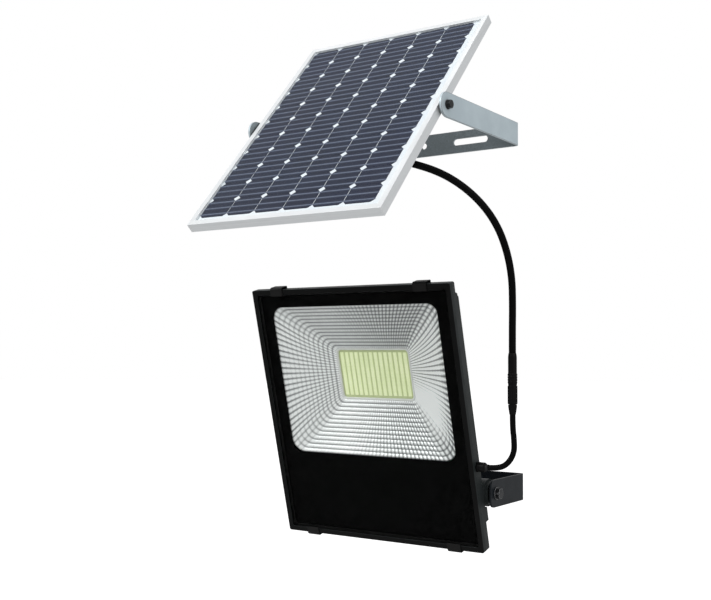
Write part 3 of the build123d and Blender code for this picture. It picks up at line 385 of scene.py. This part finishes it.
def make_cords():
    sheath = finish("cable_sheath", (0.0022, 0.0022, 0.0023), (0.0014, 0.0014, 0.0015), 0.46, grain=150,
                    fine=2600, bump=0.00004, specular=0.06)
    upper_path = cord_line("upper", BOX_EXIT, UPPER_STUB, UPPER_ROUTE)
    lower_path = cord_line("lower", LAMP_EXIT, LOWER_STUB, LOWER_ROUTE)
    upper_tube = tube("panel_cable", upper_path, UPPER_RADIUS * MM, sheath)
    lower_tube = tube("lamp_cable", lower_path, LOWER_RADIUS * MM, sheath)
    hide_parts("panel_lead")
    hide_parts("lamp_lead")
    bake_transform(upper_tube)
    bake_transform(lower_tube)


# ------------------------------------------------------------------ reflector and LEDs
RINGS, FACET = 13, 4  # rings of facets, and points along each facet
STRAIGHT_X, STRAIGHT_Y, CORNER = 36, 20, 4  # facets along the straight runs and round a corner
FRONT_HALF_X, FRONT_HALF_Y, FRONT_CORNER, FRONT_DEPTH = 134.5, 107.2, 20, 8.0
BACK_HALF_X, BACK_HALF_Y, BACK_CORNER, BACK_DEPTH = 59.6, 36.6, 6, 44.2
FOIL = 0.5  # thickness of the sheet
GASKET_LOOPS = (  # half width, half height, corner radius and depth
    (60.4, 37.4, 6.4, 43.2), (59.8, 36.8, 6.0, 42.5), (58.2, 35.2, 5.2, 42.6),
    (57.4, 34.4, 4.6, 44.6), (57.4, 34.4, 4.6, 45.2), (60.4, 37.4, 6.4, 45.2),
)


def rounded_outline(half_x, half_y, radius, per_facet):
    """Points round a rounded rectangle, evenly spread in facets."""
    spots = []
    for side, (sx, sy) in enumerate(((1, -1), (1, 1), (-1, 1), (-1, -1))):
        # a corner, then the straight run that follows it, anticlockwise from the lower right
        centre = (sx * (half_x - radius), sy * (half_y - radius))
        start = math.radians(-90 + 90 * side)
        steps = CORNER * per_facet
        for i in range(steps):
            a = start + math.pi / 2 * i / steps
            spots.append((centre[0] + radius * math.cos(a), centre[1] + radius * math.sin(a)))
        a = start + math.pi / 2
        here = (centre[0] + radius * math.cos(a), centre[1] + radius * math.sin(a))
        nx, ny = ((1, 1), (-1, 1), (-1, -1), (1, -1))[side]
        upright = side % 2 == 0
        there = (nx * half_x, ny * (half_y - radius)) if upright else (nx * (half_x - radius), ny * half_y)
        steps = (STRAIGHT_Y if upright else STRAIGHT_X) * per_facet
        for i in range(steps):
            t = i / steps
            spots.append((here[0] + (there[0] - here[0]) * t, here[1] + (there[1] - here[1]) * t))
    return spots


def side_weights(per_facet):
    """For each point of the outline, how much it belongs to the right, top, left and bottom walls."""
    weights = []
    for side in range(4):
        before = np.eye(4)[(side - 1) % 4]
        after = np.eye(4)[side]
        steps = CORNER * per_facet
        weights += [before * (1 - i / steps) + after * (i / steps) for i in range(steps)]
        weights += [after] * ((STRAIGHT_Y if side % 2 == 0 else STRAIGHT_X) * per_facet)
    return np.array(weights)


def make_reflector():
    """Stamped foil funnel: rings of small pillow facets from the window down to the LEDs, with painted shade
    in the creases, a painted brightness for each wall and a faint painted glow.
    """
    seed = np.random.default_rng(7)
    rows = RINGS * FACET + 1
    grid = []
    for i in range(rows):
        t = i / (rows - 1)
        depth = FRONT_DEPTH + (BACK_DEPTH - FRONT_DEPTH) * t ** 0.94
        corner = FRONT_CORNER + (BACK_CORNER - FRONT_CORNER) * t + 4 * math.sin(math.pi * t)
        half_x = FRONT_HALF_X + (BACK_HALF_X - FRONT_HALF_X) * t
        half_y = FRONT_HALF_Y + (BACK_HALF_Y - FRONT_HALF_Y) * t
        grid.append([(x, y, depth) for x, y in rounded_outline(half_x, half_y, corner, FACET)])
    local = np.array(grid)
    around = local.shape[1]
    down = np.gradient(local, axis=0)
    along = np.roll(local, -1, axis=1) - np.roll(local, 1, axis=1)
    normal = np.cross(along, down)
    normal /= np.linalg.norm(normal, axis=2, keepdims=True)
    normal *= -np.sign(normal[:, :, 2:3])
    i, j = np.meshgrid(np.arange(rows), np.arange(around), indexing="ij")
    ring_wave = np.sin(np.pi * (i % FACET) / FACET)
    column_wave = np.sin(np.pi * (j % FACET) / FACET)
    right, top, left, bottom = side_weights(FACET).T
    flat = top + bottom
    t = i / (rows - 1)
    to_right = np.clip(0.5 + local[:, :, 0] / 90, 0, 1)
    # the rings show on the top and bottom walls, the columns on the side walls and towards the right; these
    # shares set both the pillow relief and the painted crease shade
    ring_share = 0.20 * right + flat + left * (0.15 + 0.75 * t)
    column_share = right + flat * (0.08 + 0.85 * to_right) + left * (1 - 0.35 * t)
    # a smooth patch low on the right wall: lower relief and fainter painted crease shade there, which leaves
    # it bright
    smooth_patch = right * np.clip(-local[:, :, 1] / 30, 0, 1) * np.clip(t * 3 - 0.4, 0, 1)
    low = np.clip(-local[:, :, 1] / (30 + 70 * (1 - t)) - 0.45, 0, 0.5) * 2
    ring_share, column_share = ring_share * (1 - smooth_patch), column_share * (1 - 0.85 * smooth_patch)
    ring_share = ring_share + 0.75 * right * low * (1 - smooth_patch)
    # rim: dark painted notches between the columns at the outer edge of the right wall
    rim = np.clip(1.2 - t * 6, 0, 1)
    height = 0.5 * ring_wave * ring_share + 0.5 * column_wave * column_share
    local = local + normal * height[:, :, None]
    points = [LAMP.at(x, y + WINDOW_HEIGHT_AT, d) for x, y, d in local.reshape(-1, 3)]
    foil = Nodes("reflector_foil")
    shade = foil.add("Attribute", attribute_name="shade").outputs["Fac"]
    tone = foil.add("Attribute", attribute_name="tone").outputs["Fac"]
    fleck = foil.between(foil.noise(500, 2), 0.94, 1.06, 0.3, 0.7)
    level = foil.maths("MULTIPLY", foil.maths("MULTIPLY", shade, tone), fleck)
    colour = foil.mix(level, (0.06, 0.065, 0.07), (0.96, 0.97, 0.975))
    # painted light: a faint emission makes the foil glow in its painted colour
    foil.surface(**{"Base Color": colour, "Metallic": 0.45, "Specular IOR Level": 0.3,
                    "Roughness": foil.between(foil.noise(160), 0.30, 0.42, 0.3, 0.7),
                    "Emission Color": colour, "Emission Strength": 0.12})
    made = piece("reflector_bowl", points, rings_to_faces(rows, around, close_ends=False), "lamp",
                 foil.made)
    # painted shade: the creases between facets are darkened in colour, with dark notches along the right
    # wall's rim
    ring_crease, column_crease = (1 - ring_wave) ** 1.3, (1 - column_wave) ** 1.1
    shades = (1 - 0.86 * ring_crease * ring_share) * (1 - 0.92 * column_crease * column_share)
    shades = shades * (1 - rim * right * column_crease ** 0.35)
    put(made, "shade", np.clip(shades, 0, 1).ravel())
    # painted light: each wall gets its own brightness, the right wall lightest and the top darkest, times a
    # random tone for each facet
    walls = 1.4 * right + 0.80 * top + 1.2 * left + 1.05 * bottom
    tones = seed.uniform(0.93, 1.0, (rows // FACET + 1, around // FACET + 1))[i // FACET, j // FACET] * walls
    put(made, "tone", tones.ravel())
    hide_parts("reflector")
    thick = made.modifiers.new("sheet", "SOLIDIFY")
    thick.thickness, thick.offset = FOIL * MM, -1.0


def make_gasket():
    """White gasket between the foil and the LEDs."""
    points = []
    for half_x, half_y, radius, depth in GASKET_LOOPS:
        outline = rounded_outline(half_x, half_y, radius, 1)
        points += [LAMP.at(x, y + WINDOW_HEIGHT_AT, depth) for x, y in outline]
    piece("led_gasket", points, closed_band(len(GASKET_LOOPS), len(points) // len(GASKET_LOOPS)), "lamp",
          finish("gasket_white", (0.86, 0.87, 0.85), (0.80, 0.81, 0.78), 0.5, grain=90, bump=0.00003))


def make_bead():
    """White sealant that fills the frame's groove in front of the backsheet."""
    wall_side, front, back = 2.4, 1.1, 3.15
    points = []
    for inset, depth in ((RAIL_FACE, front), (RAIL_FACE, back), (wall_side, back), (wall_side, front)):
        for sx, sy in ((-1, -1), (1, -1), (1, 1), (-1, 1)):
            points.append(PANEL.at(sx * (HALF_PANEL_WIDTH - inset), sy * (HALF_PANEL_HEIGHT - inset), depth))
    piece("panel_bead", points, closed_band(4, 4), "panel",
          finish("sealant_white", (0.80, 0.82, 0.82), (0.74, 0.76, 0.77), 0.5, grain=60, bump=0.00004),
          smooth=False)


# ------------------------------------------------------------------ special materials
# grey-black of the housing and the bezel's sides: partly satin black paint, partly a painted sheen of the
# light on the lamp's sides
SATIN_AND_SHEEN_LIGHT, SATIN_AND_SHEEN_DARK = (0.0270, 0.0315, 0.0320), (0.0200, 0.0240, 0.0245)
RIBBON_LIGHT, RIBBON_DARK = (0.175, 0.200, 0.270), (0.135, 0.158, 0.225)


def glass(name, tint, haze, ior=None):
    """Clear pane of a faint, drifting tint, with a thin skin of reflection where an index is given."""
    m = Nodes(name)
    clear = m.add("BsdfTransparent", {"Color": m.mix(m.between(m.noise(9), 0, 1, 0.3, 0.7), tint, haze)})
    seen = clear.outputs[0]
    if ior:
        skin = m.add("BsdfGlossy", {"Roughness": m.between(m.noise(9), 0.05, 0.08, 0.3, 0.7)})
        outside = m.maths("SUBTRACT", 1.0, m.add("NewGeometry").outputs["Backfacing"])
        share = m.maths("MULTIPLY", m.add("Fresnel", {"IOR": ior}).outputs[0], outside)
        both = m.add("MixShader")
        for socket, value in ((0, share), (1, seen), (2, skin.outputs[0])):
            m.tree.links.new(value, both.inputs[socket])
        seen = both.outputs[0]
    m.tree.nodes.remove(m.shader)
    m.tree.links.new(seen, m.out.inputs["Surface"])
    return m.made


def solar_material():
    """Dark blue silicon with its fine printed fingers and a different tone in each wafer."""
    m = Nodes("silicon")
    flat = m.stretched(PANEL.lean, (1, 1, 1))
    cell = m.add("TexVoronoi", {"Vector": flat, "Scale": 22.0, "Randomness": 0.0}).outputs["Color"]
    tint = m.add("SeparateColor", {"Color": cell}).outputs[0]
    broad = m.noise(5, 2, 0.5, flat)
    navy = m.mix(tint, (0.007, 0.011, 0.028), (0.010, 0.015, 0.036))
    navy = m.mix(m.between(broad, 0, 0.6, 0.35, 0.7), navy, (0.010, 0.012, 0.034))
    # the printed lines crowd towards the ribbons, so the blue pales there
    height = m.along(m.place(), PANEL.up)
    off_ribbon = m.maths("SUBTRACT", height, PANEL.at(0, WAFERS_HEIGHT_AT, 0).dot(PANEL.up))
    phase = m.maths("MULTIPLY", off_ribbon, 2 * math.pi / (RIBBON_PITCH * MM))
    near_ribbon = m.between(m.maths("COSINE", phase), 0, 0.75, -0.1, 1)
    navy = m.mix(near_ribbon, navy, (0.056, 0.070, 0.110))
    fingers = m.add("TexWave", {"Vector": flat, "Scale": 170.0, "Distortion": 0.0}, wave_type="BANDS",
                    bands_direction="X", wave_profile="SIN").outputs["Fac"]
    colour = m.mix(m.between(fingers, 0, 0.05, 0.8, 0.99), navy, (0.30, 0.31, 0.36))
    m.surface(**{"Base Color": colour, "Roughness": m.between(broad, 0.30, 0.42, 0.3, 0.7),
                 "Specular IOR Level": 0.15})
    return m.made


def brushed(name, along):
    """Anodised aluminium of the panel's frame, with fine lines drawn along one direction of its face."""
    m = Nodes(name)
    scale = {"x": (4, 900, 900), "y": (900, 4, 900)}[along]
    lines = m.noise(1.0, 4, 0.6, m.stretched(PANEL.lean, scale))
    broad = m.noise(14, 3)
    colour = m.mix(m.between(lines, 0, 1, 0.3, 0.7), (0.82, 0.845, 0.86), (0.76, 0.785, 0.80))
    # painted highlight: a lighter colour along the sharp edges
    colour = m.mix(m.edge(0.0008), colour, (0.93, 0.94, 0.95))
    m.surface(**{"Base Color": colour, "Metallic": 0.35, "Anisotropic": 0.4,
                 "Roughness": m.between(broad, 0.31, 0.42, 0.3, 0.7)})
    m.bump(lines, 0.000012)
    return m.made


def zinc_grey():
    """Satin grey coating, with painted shade darkening the sheltered inside of the U."""
    m = Nodes("bracket_zinc")
    broad = m.noise(18, 4, 0.55)
    open_air = m.mix(m.between(broad, 0, 1, 0.3, 0.7), (0.58, 0.68, 0.73), (0.51, 0.60, 0.65))
    # painted shade: darker where ambient occlusion finds nearby surfaces, as inside the U
    colour = m.mix(m.between(m.shelter(0.4), 0, 1, 0.30, 0.85), (0.10, 0.115, 0.12), open_air)
    colour = m.mix(m.edge(0.0016), colour, (0.27, 0.28, 0.28))
    m.surface(**{"Base Color": colour, "Metallic": 0.2, "Specular IOR Level": 0.35,
                 "Roughness": m.between(broad, 0.36, 0.48, 0.3, 0.7)})
    m.bump(m.noise(1100, 3, 0.6), 0.00005)
    return m.made


def bezel_black():
    """Painted black on the face; the sides are grey-black, partly their satin finish and partly a painted
    sheen of the light falling on them.
    """
    m = Nodes("bezel_black")
    broad = m.noise(28, 4, 0.55)
    side = m.mix(m.between(broad, 0, 1, 0.3, 0.7), SATIN_AND_SHEEN_LIGHT, SATIN_AND_SHEEN_DARK)
    face = m.mix(m.between(broad, 0, 1, 0.3, 0.7), (0.0032, 0.0036, 0.0036), (0.0022, 0.0024, 0.0025))
    facing = m.along(m.add("TexCoord").outputs["Normal"], LAMP.out)
    colour = m.mix(m.between(facing, 0, 1, 0.55, 0.9), side, face)
    m.surface(**{"Base Color": colour, "Specular IOR Level": 0.1,
                 "Roughness": m.between(broad, 0.33, 0.42, 0.3, 0.7)})
    m.bump(m.noise(1500, 3, 0.6), 0.00003)
    return m.made


def phosphor():
    m = Nodes("phosphor")
    grain = m.noise(900, 2)
    broad = m.noise(40, 2)
    colour = m.mix(m.between(broad, 0, 1, 0.35, 0.65), (0.76, 0.82, 0.52), (0.71, 0.78, 0.47))
    # painted light: the chips glow faintly in their own colour
    m.surface(**{"Base Color": colour, "Roughness": m.between(grain, 0.45, 0.6, 0.3, 0.7),
                 "Emission Color": colour, "Emission Strength": 0.3})
    m.bump(grain, 0.00005)
    return m.made


# ------------------------------------------------------------------ CAD nodes: materials and softened edges
def dress_nodes():
    # the edge colours given below are painted highlights along sharp edges
    black = finish("housing_black", SATIN_AND_SHEEN_LIGHT, SATIN_AND_SHEEN_DARK, 0.38, grain=35, fine=1400, bump=0.00004,
                   specular=0.2, edge=(0.036, 0.041, 0.041))
    clip = finish("clip_black", (0.0035, 0.0035, 0.0035), (0.0022, 0.0022, 0.0022), 0.42, grain=120,
                  bump=0.00003, specular=0.2, edge=(0.010, 0.010, 0.0105))
    rubber = finish("seal_rubber", (0.012, 0.012, 0.012), (0.008, 0.008, 0.008), 0.62, grain=200,
                    bump=0.00006, specular=0.3)
    moulded = finish("moulded_black", (0.0034, 0.0034, 0.0036), (0.0022, 0.0022, 0.0024), 0.42, grain=140,
                     fine=2200, bump=0.00005, specular=0.11, edge=(0.009, 0.009, 0.010))
    dark_bracket = finish("bracket_black", (0.0120, 0.0155, 0.0195), (0.0085, 0.0112, 0.0145), 0.42,
                          grain=26, fine=1300, bump=0.00007, specular=0.22, edge=(0.032, 0.036, 0.040))
    printed = finish("ceramic_print", (0.0022, 0.0022, 0.0023), (0.0014, 0.0014, 0.0015), 0.5, grain=50,
                     specular=0.03)
    steel = finish("steel", (0.62, 0.63, 0.65), (0.50, 0.51, 0.53), 0.26, metal=1.0, grain=260, fine=1800,
                   bump=0.00002, edge=(0.85, 0.86, 0.87))
    plated = finish("dark_plated", (0.09, 0.092, 0.096), (0.05, 0.052, 0.056), 0.28, metal=1.0, grain=300,
                    fine=1800, bump=0.00002, edge=(0.50, 0.51, 0.52))
    oxide = finish("black_oxide", (0.016, 0.017, 0.018), (0.010, 0.011, 0.012), 0.32, metal=0.6, grain=300,
                   bump=0.00002, edge=(0.10, 0.10, 0.105))
    brass = finish("brass", (0.72, 0.55, 0.26), (0.60, 0.44, 0.20), 0.28, metal=1.0, grain=300, bump=0.00002)
    white = finish("backsheet_white", (0.86, 0.88, 0.89), (0.82, 0.84, 0.86), 0.55, grain=30, fine=700,
                   bump=0.00004)
    olive = finish("board_olive", (0.68, 0.75, 0.43), (0.63, 0.70, 0.38), 0.5, grain=120, bump=0.00003)
    green = finish("board_green", (0.02, 0.16, 0.06), (0.015, 0.12, 0.05), 0.4, grain=80)
    sleeve = finish("cell_sleeve", (0.02, 0.10, 0.32), (0.015, 0.08, 0.26), 0.35, grain=40)
    ribbon = finish("ribbon", RIBBON_LIGHT, RIBBON_DARK, 0.4, metal=0.3, grain=400, bump=0.00002)
    upright, across = brushed("rail_long", "y"), brushed("rail_short", "x")
    key_metal = brushed("key_metal", "y")
    lamp_pane = glass("front_glass", (0.985, 0.99, 0.985), (0.975, 0.985, 0.98))
    panel_pane = glass("panel_glass", (0.97, 0.98, 0.985), (0.96, 0.975, 0.985), ior=1.2)
    for look_of, names in (
        (black, "lamp_housing"),
        (bezel_black(), "lamp_bezel"),
        (printed, "glass_print"),
        (lamp_pane, "front_glass"),
        (rubber, "glass_seal lamp_gland_bush junction_gland_bush connector_seal"),
        (clip, "glass_clip_top_left glass_clip_top_right glass_clip_bottom_left glass_clip_bottom_right"),
        (olive, "led_board"),
        (phosphor(), "led_chips"),
        (dark_bracket, "lamp_bracket"),
        (zinc_grey(), "panel_bracket"),
        (moulded, "lamp_spacers panel_spacers junction_box junction_lid lamp_gland_body lamp_gland_cap"),
        (moulded, "lamp_gland_nut junction_gland_body junction_gland_cap junction_gland_nut"),
        (moulded, "connector_socket connector_plug connector_nut"),
        (moulded, "battery_cradle bypass_diode controller_parts"),
        (plated, "lamp_washers lamp_bolt_left lamp_bolt_right"),
        (oxide, "panel_washers panel_bolt_left panel_bolt_right"),
        (panel_pane, "panel_glass"),
        (white, "panel_backsheet"),
        (solar_material(), "solar_cells"),
        (ribbon, "cell_ribbons"),
        (brass, "connector_pins panel_inserts junction_terminals"),
        (steel, "junction_screws board_screws reflector_screws controller_screws battery_links"),
        (sleeve, "battery_cells"),
        (green, "controller_board"),
        (upright, "panel_rail_left panel_rail_right"),
        (across, "panel_rail_top panel_rail_bottom"),
        (key_metal, "corner_keys"),
    ):
        for node in names.split():
            paint(node, look_of)
    for width, names in (
        (0.7, "lamp_bezel lamp_housing junction_box junction_lid"),
        (0.4, "lamp_bracket panel_bracket lamp_washers panel_washers lamp_gland_body"),
        (0.4, "junction_gland_body connector_nut lamp_spacers panel_spacers"),
        (0.3, "panel_rail_left panel_rail_right panel_rail_top panel_rail_bottom"),
        (0.3, "glass_clip_top_left glass_clip_top_right glass_clip_bottom_left glass_clip_bottom_right"),
        (0.3, "lamp_bolt_left lamp_bolt_right panel_bolt_left panel_bolt_right"),
        (0.3, "lamp_gland_cap junction_gland_cap connector_socket connector_plug"),
    ):
        for name in names.split():
            soften(name, width)


make_stage()
make_cords()
make_reflector()
make_gasket()
make_bead()
dress_nodes()
